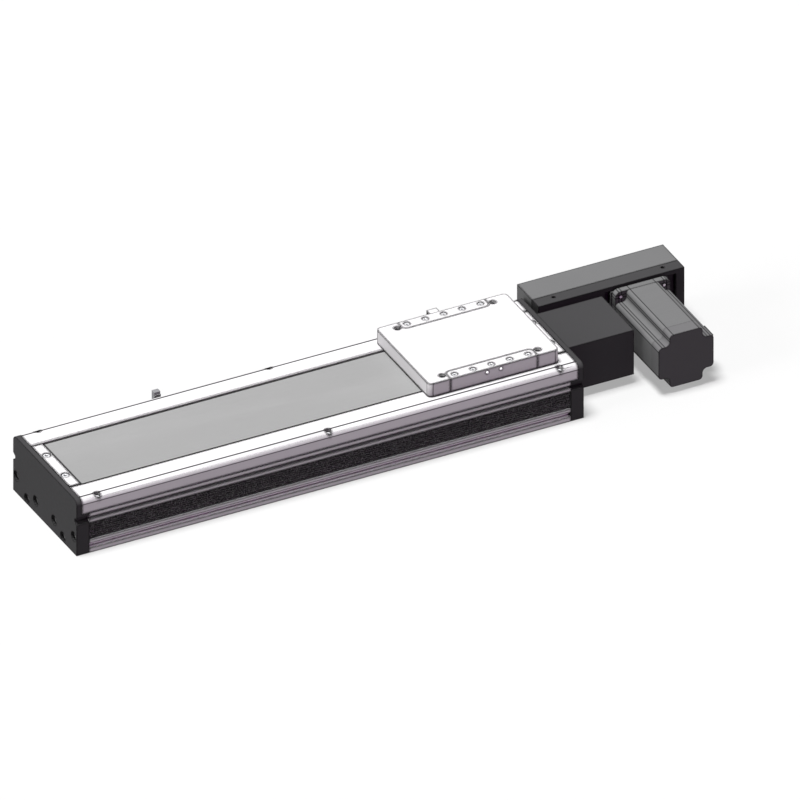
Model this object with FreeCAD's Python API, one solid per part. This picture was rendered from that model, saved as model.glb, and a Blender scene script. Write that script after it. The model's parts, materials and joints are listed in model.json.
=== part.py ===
import FreeCAD, Part
import math
import os

os.makedirs("parts", exist_ok=True)
V = FreeCAD.Vector

# Frame: origin at the centre of the mounting face, X along the travel towards the drive end, Z up.
# All sizes are millimetres.

# Body
body_length = 552.0
body_width = 136.0
base_height = 46.0
body_height = 63.0
floor_thickness = 10.0
wall_thickness = 10.0
top_corner_radius = 6.0
shadow_gap = 0.8

# Grooves along each side of the base profile, as heights over the mounting face
foot_groove_low = 5.4
foot_groove_high = 10.5
foot_groove_depth = 4.5
infill_low = 14.7
infill_high = 34.6
infill_depth = 3.2
infill_rib_count = 8
infill_rib_depth = 0.7
infill_sink = 1.6
infill_gap = 0.1
clamp_groove_low = 38.2
clamp_groove_high = 41.2
clamp_groove_depth = 4.3

# End plates
end_block = 14.0
end_lip = 6.0
notch_low = 35.0
notch_high = 43.0
notch_floor_height = 3.0

# Clearances
press_gap = 0.02
running_gap = 0.05
seat_gap = 0.2
slide_gap = 0.4

# Screws: head radius, head height, shank radius
m3_head_radius = 2.75
m3_head_height = 3.0
m3_radius = 1.5
m4_head_radius = 3.5
m4_head_height = 4.0
m4_radius = 2.0
m6_head_radius = 4.8
m6_head_height = 6.0
m6_radius = 3.0
counterbore_gap = 0.4
thread_gap = 0.05
screw_tip_gap = 1.0
socket_share = 0.55
cover_screw_tip = 2.0
hidden_head_height = 2.1

# End plate screws, as distances from the middle and heights
wall_screw_y = 61.5
wall_screw_z = 19.0
floor_screw_y = 38.5
floor_screw_z = 5.6
tension_screw_y = 19.5
tension_screw_z = 14.0
end_screw_grip = 16.0
end_screw_sink = 9.0

# Threaded holes in the mounting face
base_hole_radius = 2.5
base_hole_inset = 76.0
base_hole_spacing_y = 106.0

# Side covers
cover_inner_y = 42.4
cover_inner_chamfer = 0.8
cover_flange = 4.0
cover_bar = 10.0
cover_screw_y = 63.5
cover_screw_inset = 18.5
cover_seat_height = 56.0

# Cover strip, its clamps and the bars under its ends
slot_width = 2.9
strip_thickness = 1.0
strip_drop = 1.2
clamp_length = 11.7
clamp_width = 80.0
clamp_strip_edge = 1.0
clamp_end_gap = 0.4
clamp_screw_y = 20.0
clamp_screw_depth = 4.5
strip_bar_low = 46.0
strip_bar_floor = 2.0
belt_clearance = 1.2

# Linear guides
rail_y = 41.0
rail_width = 15.0
rail_height = 15.0
rail_waist = 1.2
rail_end_gap = 4.0
rail_screw_pitch = 120.0
rail_screw_end = 17.0
rail_screw_sink = 1.0
block_width = 32.0
block_length = 56.0
block_pitch = 68.0
block_top = 38.0
block_lift = 4.3
block_screw_span = 26.0

# Carriage
carriage_length = 142.0
carriage_width = 114.4
carriage_thickness = 15.0
carriage_gap = 1.0
carriage_corner_radius = 4.5
mount_hole_radius = 3.4
mount_spacing_x = 104.0
mount_spacing_y = 96.0
insert_length = 94.5
insert_width = 13.5
insert_corner_radius = 5.0
insert_gap = 0.2
insert_screw_pitch = 20.0
insert_screw_count = 5
insert_screw_inset = 6.2
insert_screw_depth = 3.5
insert_pin_radius = 1.3
insert_pin_spacing = 14.8
insert_pin_drop = 4.2
insert_pin_depth = 5.0
leg_thickness = 2.0
leg_flange = 3.9
leg_foot = 3.0
leg_inner_y = 33.2
leg_screw_y = 36.8
leg_length = 89.6
leg_edge = 2.0
saddle_length = 124.0
saddle_width = 112.0
saddle_thickness = 12.0
saddle_window = 20.0

# Travel: the sensors' stroke comes in whole steps, and the bumpers stop the carriage just past them
stroke_step = 10.0
over_travel = 5.0
bumper_length = 10.7
bumper_gap = 0.3
bumper_radius = 4.0
bumper_y = 21.0
bumper_z = 41.8

# Main belt and its pulleys
belt_pitch = 10.0
belt_pulley_teeth = 12
belt_width = 25.0
belt_tooth_height = 2.5
belt_tooth_base = 5.3
belt_tooth_tip = 3.5
belt_land_offset = 1.0
belt_back_offset = 1.0
mesh_gap = 0.1
pulley_face = 26.0
pulley_flange = 1.5
pulley_flange_rise = 1.5

# Shafts
shaft_height = 36.5
drive_axis_reach = 37.0
drive_shaft_radius = 6.0
drive_shaft_hole_radius = 8.0
idler_axle_radius = 5.0
idler_bore_gap = 2.0

# Ball bearings: outer radius, width
drive_bearing_radius = 14.0
drive_bearing_width = 8.0
idler_bearing_radius = 11.0
idler_bearing_width = 6.0
motor_bearing_radius = 11.0
motor_bearing_width = 7.0

# Belt tensioner
tension_block_length = 60.0
tension_travel = 5.0
idler_setback = 39.0
cheek_inner = 16.0
cheek_outer = 26.0
tension_web = 3.5
tension_block_top = 49.0

# Belt clamp on the carriage
belt_clamp_length = 60.0
tooth_block_half_width = 14.0
belt_clamp_shell = 2.2
belt_clamp_ear = 4.0
belt_clamp_half_width = 24.0
belt_clamp_screw_y = 20.0
belt_clamp_screw_span = 44.0

# Drive box
drive_box_length = 72.0
drive_box_near = -34.0
drive_box_low = 10.0
drive_box_high = 61.0
drive_cavity_half = 17.0
drive_cavity_radius = 22.0
drive_bearing_inset = 1.0
drive_box_screw_y = 27.0
drive_box_screw_low = 18.0
drive_box_screw_high = 40.0
support_length = 14.0
support_drop = 6.0
support_width = 40.0

# Side belt housing
housing_setback = 3.0
housing_length = 159.0
housing_near = 35.0
housing_plate = 14.0
housing_depth = 46.0
housing_half_height = 31.9
housing_wall = 3.0
housing_post = 9.0
housing_screw_inset = 7.0
housing_screw_sink = 0.4
housing_screw_grip = 8.0
pocket_depth = 4.5
pocket_inset = 73.0
pocket_end_rim = 9.4
pocket_top_rim = 5.3
top_hole_radius = 1.6
top_hole_depth = 8.0
top_hole_inset_start = 21.0
top_hole_inset_end = 19.3
top_hole_shift = 2.0

# Side belt
side_pitch = 5.0
side_teeth = 20
side_centres_in_pitches = 15
side_belt_width = 15.0
side_tooth_height = 1.2
side_tooth_base = 2.65
side_tooth_tip = 1.8
side_land_offset = 0.5
side_back_offset = 0.5
side_pulley_face = 16.0
side_pulley_flange = 1.0
side_pulley_start = 50.5

# Motor and its adapter plate
adapter_length = 61.7
adapter_thickness = 6.5
adapter_screw_x = 27.0
adapter_screw_z = 8.0
adapter_screw_floor = 1.0
adapter_head_height = 1.2
motor_size = 60.0
motor_flange = 7.0
motor_flange_corner = 6.0
motor_hole_spacing = 47.14
motor_head_gap = 0.2
motor_screw_tip_gap = 0.1
motor_pilot_radius = 19.05
motor_pilot_height = 2.0
motor_body = 78.0
motor_cap = 15.0
motor_notch = 12.0
motor_notch_outer_radius = 4.0
motor_notch_inner_radius = 5.0
motor_shaft_radius = 4.0
motor_shaft_reach = 35.0
motor_shaft_gap = 1.0
rotor_radius = 16.7
rotor_gap = 0.3
rotor_inset = 6.0
connector_length = 18.0
connector_height = 12.0
connector_reach = 8.0
connector_wall = 1.5
connector_inset = 2.0

# Limit sensors and the flag on the carriage
flag_offset = -2.5
flag_width = 11.0
flag_thickness = 1.2
flag_reach = 15.2
flag_drop = 6.0
flag_foot = 7.0
flag_tab = 5.5
sensor_width = 7.0
sensor_depth = 5.5
sensor_low = 50.0
sensor_high = 66.0
sensor_bracket_width = 14.0
sensor_bracket_thickness = 1.0
sensor_bracket_low = 36.0
sensor_head_share = 0.6

# Worked out from the sizes above
half_length = body_length / 2
half_width = body_width / 2
end_inner = half_length - end_block
lip_inner = half_length - end_lip
wall_inner = half_width - wall_thickness
strip_top = body_height - strip_drop
strip_low = strip_top - strip_thickness
strip_half = cover_inner_y - slot_width
clamp_outer_x = lip_inner - clamp_end_gap
clamp_inner_x = clamp_outer_x - clamp_length + clamp_end_gap
carriage_x = end_inner - bumper_length - bumper_gap - over_travel - saddle_length / 2
carriage_low = body_height + carriage_gap
carriage_high = carriage_low + carriage_thickness
carriage_half = carriage_width / 2
insert_inner_y = carriage_half - insert_width
insert_screw_y = carriage_half - insert_screw_inset
leg_outer_y = cover_inner_y - slide_gap
saddle_low = block_top
saddle_top = saddle_low + saddle_thickness
belt_radius = belt_pulley_teeth * belt_pitch / (2 * math.pi)
side_radius = side_teeth * side_pitch / (2 * math.pi)
drive_x = half_length + drive_axis_reach
idler_room = drive_x + end_inner - tension_travel - idler_setback
belt_centres_in_pitches = math.floor(idler_room / belt_pitch)
idler_x = drive_x - belt_centres_in_pitches * belt_pitch
motor_x = drive_x + side_centres_in_pitches * side_pitch
belt_top_land = shaft_height + belt_radius - belt_land_offset
belt_top_back = shaft_height + belt_radius + belt_back_offset
pulley_half = pulley_face / 2 + pulley_flange
tension_start = idler_x - idler_setback
tension_end = tension_start + tension_block_length
drive_box_end = half_length + drive_box_length
housing_start = half_length + housing_setback
housing_end = housing_start + housing_length
pocket_start = housing_start + pocket_inset
housing_low = shaft_height - housing_half_height
housing_high = shaft_height + housing_half_height
plate_far = housing_near + housing_plate
housing_far = housing_near + housing_depth
pocket_floor = housing_near + pocket_depth
pocket_half_height = housing_half_height - pocket_top_rim
pocket_end = housing_end - pocket_end_rim
motor_face = pocket_floor - adapter_thickness
motor_rear_of_flange = motor_face - motor_flange
motor_rear_of_body = motor_rear_of_flange - motor_body
motor_end = motor_rear_of_body - motor_cap
base_hole_x = half_length - base_hole_inset
carriage_room = carriage_x - saddle_length / 2 - tension_end
sensor_stroke = stroke_step * math.floor((carriage_room - over_travel - bumper_length - bumper_gap) / stroke_step)
flag_x = carriage_x + flag_offset
sensor_xs = [flag_x - sensor_stroke, flag_x]
sensor_screw_z = (clamp_groove_low + clamp_groove_high) / 2


# Helpers

def box(x0, x1, y0, y1, z0, z1):
    return Part.makeBox(x1 - x0, y1 - y0, z1 - z0, V(x0, y0, z0))


def rod_y(y0, y1, x, z, radius):
    return Part.makeCylinder(radius, y1 - y0, V(x, y0, z), V(0, 1, 0))


def rod_z(z0, z1, x, y, radius):
    return Part.makeCylinder(radius, z1 - z0, V(x, y, z0), V(0, 0, 1))


def sides_for(radius):
    """How many sides a hidden or repeated round form gets: a multiple of four that grows with it."""
    return 4 * max(2, round(1.5 * math.sqrt(radius)))


def many_sided(radius, length, flats):
    """A bar along Z with flat sides, whose flats or whose corners lie on the radius."""
    sides = sides_for(radius)
    reach = radius / math.cos(math.pi / sides) if flats else radius
    turns = [2 * math.pi * (i + 0.5) / sides for i in range(sides)]
    rim = [V(reach * math.cos(t), reach * math.sin(t), 0) for t in turns]
    return Part.Face(Part.makePolygon(rim + rim[:1])).extrude(V(0, 0, length))


def hole_x(x0, x1, y, z, radius):
    return placed(many_sided(radius, x1 - x0, True), x0, y, z, (1, 0, 0))


def hole_y(y0, y1, x, z, radius):
    return placed(many_sided(radius, y1 - y0, True), x, y0, z, (0, 1, 0))


def hole_z(z0, z1, x, y, radius):
    return placed(many_sided(radius, z1 - z0, True), x, y, z0, (0, 0, 1))


def bar_x(x0, x1, y, z, radius):
    return placed(many_sided(radius, x1 - x0, False), x0, y, z, (1, 0, 0))


def bar_y(y0, y1, x, z, radius):
    return placed(many_sided(radius, y1 - y0, False), x, y0, z, (0, 1, 0))


def prism_x(outline, x0, x1):
    corners = [V(x0, y, z) for y, z in outline]
    return Part.Face(Part.makePolygon(corners + corners[:1])).extrude(V(x1 - x0, 0, 0))


def prism_y(outline, y0, y1):
    corners = [V(x, y0, z) for x, z in outline]
    return Part.Face(Part.makePolygon(corners + corners[:1])).extrude(V(0, y1 - y0, 0))


def mirror_y(shape):
    return shape.mirror(V(0, 0, 0), V(0, 1, 0))


def mirror_x(shape):
    return shape.mirror(V(0, 0, 0), V(1, 0, 0))


def both_sides(shape):
    return [shape, mirror_y(shape)]


def joined(shapes):
    return shapes[0].multiFuse(shapes[1:]).removeSplitter()


def without(shape, tools):
    return shape.cut(tools)


def edges_along(shape, axis, places, tolerance=0.01):
    """Edges parallel to an axis that pass through one of the places, given in the plane across it."""
    found = []
    for edge in shape.Edges:
        if len(edge.Vertexes) != 2:
            continue
        a, b = edge.Vertexes[0].Point, edge.Vertexes[1].Point
        run = b - a
        if abs(abs(run[axis]) - run.Length) > tolerance:
            continue
        across = [a[i] for i in range(3) if i != axis]
        if any(math.dist(across, place) < tolerance for place in places):
            found.append(edge)
    return found


def rounded(shape, axis, places, radius):
    return shape.makeFillet(radius, edges_along(shape, axis, places))


def cap_screw(head_radius, head_height, shank_radius, shank_length):
    """A socket head screw with its seat at z = 0 and its shank pointing down, light enough to repeat."""
    head = many_sided(head_radius, head_height, False)
    shank = hexagon(shank_radius, -shank_length, 0)
    socket = hexagon(head_radius * socket_share, head_height * socket_share, head_height + 1)
    return head.fuse(shank).cut(socket)


def plain_screw(head_radius, head_height, shank_radius, shank_length):
    """A hidden screw with its seat at z = 0: a hexagon head and a plain shank."""
    return hexagon(head_radius, 0, head_height).fuse(hexagon(shank_radius, -shank_length, 0))


def hexagon(radius, z0, z1):
    turns = [math.radians(60 * i) for i in range(6)]
    rim = [V(radius * math.cos(t), radius * math.sin(t), z0) for t in turns]
    return Part.Face(Part.makePolygon(rim + rim[:1])).extrude(V(0, 0, z1 - z0))


def placed(shape, x, y, z, out):
    """A copy of a screw with its seat at a place and its head pointing out."""
    copy = shape.copy()
    turn = FreeCAD.Placement(V(x, y, z), FreeCAD.Rotation(V(0, 0, 1), V(*out)))
    return copy.transformed(turn.toMatrix(), True)


def export(name, shapes):
    shape = shapes if isinstance(shapes, Part.Shape) else Part.makeCompound(shapes)
    shape.exportStep("parts/" + name + ".step")


# Base profile and side strips

def base_extrusion():
    outline = [
        (-half_width, 0), (half_width, 0), (half_width, base_height), (wall_inner, base_height),
        (wall_inner, floor_thickness), (-wall_inner, floor_thickness), (-wall_inner, base_height),
        (-half_width, base_height),
    ]
    body = prism_x(outline, -end_inner, end_inner)
    far = half_width + 1
    grooves = [
        box(-half_length, half_length, half_width - foot_groove_depth, far, foot_groove_low, foot_groove_high),
        box(-half_length, half_length, half_width - infill_depth, far, infill_low, infill_high),
        box(-half_length, half_length, half_width - clamp_groove_depth, far, clamp_groove_low, clamp_groove_high),
        box(-half_length, half_length, half_width - shadow_gap, far, base_height - shadow_gap, base_height + 1),
    ]
    cuts = [cut for groove in grooves for cut in both_sides(groove)]
    for end in (-1, 1):
        x0 = end_inner - end_screw_grip
        for y, z in ((wall_screw_y, wall_screw_z), (floor_screw_y, floor_screw_z)):
            hole = hole_x(x0, half_length, y, z, m6_radius + thread_gap)
            cuts += [cut if end > 0 else mirror_x(cut) for cut in both_sides(hole)]
    for x in cover_screw_xs():
        hole = hole_z(clamp_groove_high + 1, base_height + 1, x, cover_screw_y, m3_radius + thread_gap)
        cuts += both_sides(hole)
    for x in (-base_hole_x, base_hole_x):
        hole = rod_z(-1, floor_thickness + 1, x, base_hole_spacing_y / 2, base_hole_radius)
        cuts += both_sides(hole)
    return without(body, cuts)


def side_infill():
    """A black ribbed strip pressed into the wide side groove."""
    back = half_width - infill_depth + infill_gap
    low = infill_low + infill_gap
    high = infill_high - infill_gap
    pitch = (high - low) / infill_rib_count
    outline = [(back, high), (back, low)]
    for i in range(infill_rib_count):
        z = low + i * pitch
        crest = half_width - infill_sink
        root = crest - infill_rib_depth
        outline += [(root, z), (crest, z + pitch * 0.25), (crest, z + pitch * 0.75)]
    outline.append((root, high))
    return prism_x(outline, -end_inner + infill_gap, end_inner - infill_gap)


# End plates

def end_plate_blank():
    """The end plate at the drive end, before its holes: a thick lower block with a thin upper lip."""
    lip = box(lip_inner, half_length, -half_width, half_width, 0, body_height)
    block = box(end_inner, lip_inner, -half_width, half_width, 0, base_height)
    plate = joined([lip, block])
    corners = [(-half_width, body_height), (half_width, body_height)]
    plate = rounded(plate, 0, corners, top_corner_radius)
    middle = (notch_low + notch_high) / 2
    mouth = half_width + 0.01
    floor = half_width - clamp_groove_depth
    notch = prism_x([
        (mouth, notch_low), (mouth, notch_high),
        (floor, middle + notch_floor_height / 2), (floor, middle - notch_floor_height / 2),
    ], end_inner - 1, half_length + 1)
    return without(plate, both_sides(notch))


def end_plate_screw_places():
    return [(s * y, z) for s in (-1, 1) for y, z in (
        (wall_screw_y, wall_screw_z), (floor_screw_y, floor_screw_z))]


def screw_cuts_out(y, z):
    """Counterbore and through hole for a screw that goes in from the outer face of an end plate."""
    seat = half_length - end_screw_sink
    return [
        hole_x(seat, half_length + 1, y, z, m6_head_radius + counterbore_gap),
        hole_x(end_inner - 1, seat, y, z, m6_radius + thread_gap),
    ]


def belt_window():
    return box(end_inner - 1, half_length + 1, -cheek_inner, cheek_inner,
               shaft_height - drive_cavity_radius, shaft_height + drive_cavity_radius)


def drive_end_plate():
    cuts = [belt_window()]
    for y, z in end_plate_screw_places():
        cuts += screw_cuts_out(y, z)
    for y, z in drive_box_screw_places():
        cuts.append(hole_x(end_inner - 1, end_inner + m4_head_height, y, z, m4_head_radius + counterbore_gap))
        cuts.append(hole_x(end_inner, half_length + 1, y, z, m4_radius + thread_gap))
    return without(end_plate_blank(), cuts)


def tension_end_plate():
    cuts = []
    for y, z in end_plate_screw_places():
        cuts += screw_cuts_out(y, z)
    for y in (-tension_screw_y, tension_screw_y):
        cuts += screw_cuts_out(y, tension_screw_z)
    return mirror_x(without(end_plate_blank(), cuts))


def end_plate_screws(end):
    seat = half_length - end_screw_sink
    shank = seat - end_inner + end_screw_grip - screw_tip_gap
    screw = cap_screw(m6_head_radius, m6_head_height, m6_radius, shank)
    return [placed(screw, end * seat, y, z, (end, 0, 0)) for y, z in end_plate_screw_places()]


# Side covers

def cover_screw_xs():
    end = lip_inner - cover_screw_inset
    return (-end, 0, end)


def side_cover():
    """The far cover: a bar on the wall of the base with a flange over the guide."""
    bar_inner = half_width - cover_bar
    outline = [
        (half_width, base_height), (half_width, body_height), (cover_inner_y + cover_inner_chamfer, body_height),
        (cover_inner_y, body_height - cover_inner_chamfer), (cover_inner_y, body_height - cover_flange),
        (bar_inner, body_height - cover_flange), (bar_inner, base_height),
    ]
    cover = prism_x(outline, -lip_inner, lip_inner)
    cover = rounded(cover, 0, [(half_width, body_height)], top_corner_radius)
    cuts = []
    for x in cover_screw_xs():
        cuts.append(hole_z(cover_seat_height, body_height + 1, x, cover_screw_y, m3_head_radius + counterbore_gap))
        cuts.append(hole_z(base_height - 1, cover_seat_height, x, cover_screw_y, m3_radius + thread_gap))
    return without(cover, cuts)


def cover_screws():
    depth = cover_seat_height - clamp_groove_high - cover_screw_tip
    screw = cap_screw(m3_head_radius, m3_head_height, m3_radius, depth)
    places = [(x, s * cover_screw_y) for x in cover_screw_xs() for s in (-1, 1)]
    return [placed(screw, x, y, cover_seat_height, (0, 0, 1)) for x, y in places]


# Cover strip with the pieces that hold its ends

def clamp_screw_seat():
    return body_height - clamp_screw_depth


def clamp_screw_x():
    return (clamp_inner_x + clamp_outer_x) / 2


def clamp_screw_cuts(low):
    cuts = []
    for y in (-clamp_screw_y, clamp_screw_y):
        x = clamp_screw_x()
        cuts.append(hole_z(clamp_screw_seat(), body_height + 1, x, y, m4_head_radius + counterbore_gap))
        cuts.append(hole_z(low, clamp_screw_seat(), x, y, m4_radius + thread_gap))
    return cuts


def cover_strip():
    wide = clamp_inner_x - clamp_end_gap
    tongue = clamp_width / 2 - clamp_strip_edge
    strip = joined([
        box(-wide, wide, -strip_half, strip_half, strip_low, strip_top),
        box(-clamp_outer_x, clamp_outer_x, -tongue, tongue, strip_low, strip_top),
    ])
    cuts = clamp_screw_cuts(strip_low - 1)
    return without(strip, cuts + [mirror_x(cut) for cut in cuts])


def strip_bar():
    """The bar under the end of the strip at the drive end, arched over the belt."""
    half = cover_inner_y - seat_gap
    bar = box(clamp_inner_x, lip_inner, -half, half, strip_bar_low, strip_low)
    arch = box(clamp_inner_x - 1, lip_inner + 1, -cheek_inner, cheek_inner, 0, belt_top_back + belt_clearance)
    return without(bar, [arch] + clamp_screw_cuts(strip_bar_low + strip_bar_floor))


def strip_clamp():
    half = clamp_width / 2
    bar = box(clamp_inner_x, clamp_outer_x, -half, half, strip_top, body_height)
    return without(bar, clamp_screw_cuts(clamp_screw_seat() - 1))


def strip_clamp_screws():
    shank = clamp_screw_seat() - strip_bar_low - strip_bar_floor - screw_tip_gap
    screw = cap_screw(m4_head_radius, m4_head_height, m4_radius, shank)
    places = [(end * clamp_screw_x(), s * clamp_screw_y) for end in (-1, 1) for s in (-1, 1)]
    return [placed(screw, x, y, clamp_screw_seat(), (0, 0, 1)) for x, y in places]


# Linear guides

def rail_screw_xs():
    room = 2 * (end_inner - rail_end_gap - rail_screw_end)
    gaps = math.floor(room / rail_screw_pitch)
    return [rail_screw_pitch * (i - gaps / 2) for i in range(gaps + 1)]


def rail_screw_seat():
    return floor_thickness + rail_height - m4_head_height - rail_screw_sink


def guide_rail():
    """The far rail, with a waist along both flanks."""
    low = floor_thickness
    half = rail_width / 2
    waist = half - rail_waist
    side = [
        (half, low), (half, low + rail_height * 0.3), (waist, low + rail_height * 0.45),
        (waist, low + rail_height * 0.6), (half, low + rail_height * 0.75), (half, low + rail_height),
    ]
    outline = [(rail_y + y, z) for y, z in side] + [(rail_y - y, z) for y, z in reversed(side)]
    rail = prism_x(outline, -end_inner + rail_end_gap, end_inner - rail_end_gap)
    top = floor_thickness + rail_height + 1
    cuts = [hole_z(rail_screw_seat(), top, x, rail_y, m4_head_radius + counterbore_gap) for x in rail_screw_xs()]
    return without(rail, cuts)


def rail_screws():
    head = hexagon(m4_head_radius, 0, m4_head_height)
    places = [(x, s * rail_y) for x in rail_screw_xs() for s in (-1, 1)]
    return [placed(head, x, y, rail_screw_seat(), (0, 0, 1)) for x, y in places]


def bearing_block(x, side):
    low = floor_thickness + block_lift
    half = block_width / 2
    slot_half = rail_width / 2 + running_gap
    slot_top = floor_thickness + rail_height + seat_gap
    chamfer = 2.0
    outline = [
        (-half, low), (-slot_half, low), (-slot_half, slot_top), (slot_half, slot_top), (slot_half, low),
        (half, low), (half, block_top - chamfer), (half - chamfer, block_top), (chamfer - half, block_top),
        (-half, block_top - chamfer),
    ]
    outline = [(side * rail_y + y, z) for y, z in outline]
    return prism_x(outline, x - block_length / 2, x + block_length / 2)


def bearing_blocks(side):
    return [bearing_block(carriage_x + end * block_pitch / 2, side) for end in (-1, 1)]


# Carriage

def carriage_saddle():
    half = saddle_width / 2
    reach = saddle_length / 2
    plate = box(carriage_x - reach, carriage_x + reach, -half, half, saddle_low, saddle_top)
    corners = [(carriage_x + a * reach, b * half) for a in (-1, 1) for b in (-1, 1)]
    plate = rounded(plate, 2, corners, carriage_corner_radius)
    windows = []
    for end in (-1, 1):
        x = carriage_x + end * (belt_clamp_length / 2 + reach) / 2
        windows.append(box(x - saddle_window / 2, x + saddle_window / 2,
                           -tooth_block_half_width, tooth_block_half_width, saddle_low - 1, saddle_top + 1))
    return without(plate, windows)


def saddle_screws():
    head = hexagon(m4_head_radius, 0, hidden_head_height)
    screws = []
    for side in (-1, 1):
        for end in (-1, 1):
            for a in (-0.5, 0.5):
                for b in (-0.5, 0.5):
                    x = carriage_x + end * block_pitch / 2 + a * block_screw_span
                    y = side * (rail_y + b * block_screw_span)
                    screws.append(placed(head, x, y, saddle_top, (0, 0, 1)))
    return screws


def carriage_leg():
    """The far leg: it stands on the saddle and passes up through the slot beside the strip."""
    inner = leg_outer_y - leg_thickness
    flange_outer = carriage_half - leg_edge - seat_gap
    flange_top = carriage_low + leg_flange
    outline = [
        (leg_inner_y, saddle_top), (leg_outer_y, saddle_top), (leg_outer_y, carriage_low),
        (flange_outer, carriage_low), (flange_outer, flange_top), (leg_inner_y, flange_top),
        (leg_inner_y, carriage_low), (inner, carriage_low), (inner, saddle_top + leg_foot),
        (leg_inner_y, saddle_top + leg_foot),
    ]
    return prism_x(outline, carriage_x - leg_length / 2, carriage_x + leg_length / 2)


def leg_screws():
    head = hexagon(m3_head_radius, 0, hidden_head_height)
    xs = [carriage_x + i * leg_length * 0.4 for i in (-1, 0, 1)]
    places = [(x, s * leg_screw_y) for x in xs for s in (-1, 1)]
    return [placed(head, x, y, saddle_top + leg_foot, (0, 0, 1)) for x, y in places]


def leg_pocket():
    """The pocket for a leg's flange in the underside of the plate and of the insert."""
    half = leg_length / 2 + seat_gap
    return box(carriage_x - half, carriage_x + half, leg_inner_y - seat_gap, carriage_half - leg_edge,
               carriage_low - 1, carriage_low + leg_flange + insert_gap)


def insert_block(grow):
    """The space of the far edge insert, or that space and a gap round it."""
    half = insert_length / 2 + grow
    inner = insert_inner_y - grow
    block = box(carriage_x - half, carriage_x + half, inner, carriage_half + (1 if grow else 0),
                carriage_low - (1 if grow else 0), carriage_high + (1 if grow else 0))
    corners = [(carriage_x - half, inner), (carriage_x + half, inner)]
    return rounded(block, 2, corners, insert_corner_radius)


def carriage_plate():
    reach = carriage_length / 2
    plate = box(carriage_x - reach, carriage_x + reach, -carriage_half, carriage_half,
                carriage_low, carriage_high)
    corners = [(carriage_x + a * reach, b * carriage_half) for a in (-1, 1) for b in (-1, 1)]
    plate = rounded(plate, 2, corners, carriage_corner_radius)
    cuts = both_sides(insert_block(insert_gap)) + both_sides(leg_pocket())
    for a in (-0.5, 0.5):
        for b in (-0.5, 0.5):
            x = carriage_x + a * mount_spacing_x
            y = b * mount_spacing_y
            cuts.append(rod_z(carriage_low - 1, carriage_high + 1, x, y, mount_hole_radius))
    return without(plate, cuts)


def insert_screw_xs():
    middle = (insert_screw_count - 1) / 2
    return [carriage_x + (i - middle) * insert_screw_pitch for i in range(insert_screw_count)]


def carriage_insert():
    """The far edge insert, with the screws' counterbores and two pin holes in its side."""
    seat = carriage_high - insert_screw_depth
    cuts = [leg_pocket()]
    for x in insert_screw_xs():
        cuts.append(hole_z(seat, carriage_high + 1, x, insert_screw_y, m3_head_radius + counterbore_gap / 2))
        cuts.append(hole_z(carriage_low, seat, x, insert_screw_y, m3_radius + thread_gap))
    for x in (-insert_pin_spacing / 2, insert_pin_spacing / 2):
        cuts.append(hole_y(carriage_half - insert_pin_depth, carriage_half + 1, carriage_x + x,
                          carriage_high - insert_pin_drop, insert_pin_radius))
    return without(insert_block(0), cuts)


def insert_screws():
    seat = carriage_high - insert_screw_depth
    grip = seat - carriage_low - leg_flange - insert_gap
    screw = cap_screw(m3_head_radius, m3_head_height, m3_radius, grip)
    places = [(x, s * insert_screw_y) for x in insert_screw_xs() for s in (-1, 1)]
    return [placed(screw, x, y, seat, (0, 0, 1)) for x, y in places]


# Toothed belts and pulleys

def belt_point(start_x, radius, centres, along, depth):
    """A point of a belt loop: along is the distance on the pitch line from the top of the right
    pulley, clockwise seen from the near side, and depth is the distance inside the pitch line."""
    arc = math.pi * radius
    along = along % (2 * centres + 2 * arc)
    reach = radius - depth
    if along < arc:
        turn = math.pi / 2 - along / radius
        return start_x + reach * math.cos(turn), shaft_height + reach * math.sin(turn)
    if along < arc + centres:
        return start_x - (along - arc), shaft_height - reach
    if along < 2 * arc + centres:
        turn = -math.pi / 2 - (along - arc - centres) / radius
        return start_x - centres + reach * math.cos(turn), shaft_height + reach * math.sin(turn)
    return start_x - centres + (along - 2 * arc - centres), shaft_height + reach


def toothed_belt(start_x, pulley_teeth, centres_in_pitches, sizes, y0, y1):
    """A closed toothed belt round two equal pulleys, in mesh with both."""
    pitch, height, base, tip, land, back = sizes
    radius = pulley_teeth * pitch / (2 * math.pi)
    centres = centres_in_pitches * pitch
    inner = []
    for i in range(2 * centres_in_pitches + pulley_teeth):
        for along, depth in ((-base / 2, land), (-tip / 2, land + height), (tip / 2, land + height), (base / 2, land)):
            inner.append(belt_point(start_x, radius, centres, i * pitch + along, depth))
    outside = radius + back
    stop_x = start_x - centres
    top, low = shaft_height + outside, shaft_height - outside
    right = Part.Arc(V(start_x, y0, top), V(start_x + outside, y0, shaft_height), V(start_x, y0, low))
    left = Part.Arc(V(stop_x, y0, low), V(stop_x - outside, y0, shaft_height), V(stop_x, y0, top))
    lower = Part.LineSegment(V(start_x, y0, low), V(stop_x, y0, low))
    upper = Part.LineSegment(V(stop_x, y0, top), V(start_x, y0, top))
    rim = Part.Wire([curve.toShape() for curve in (right, lower, left, upper)])
    solid = Part.Face(rim).extrude(V(0, y1 - y0, 0))
    return solid.cut(prism_y(inner, y0 - 1, y1 + 1))


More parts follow.
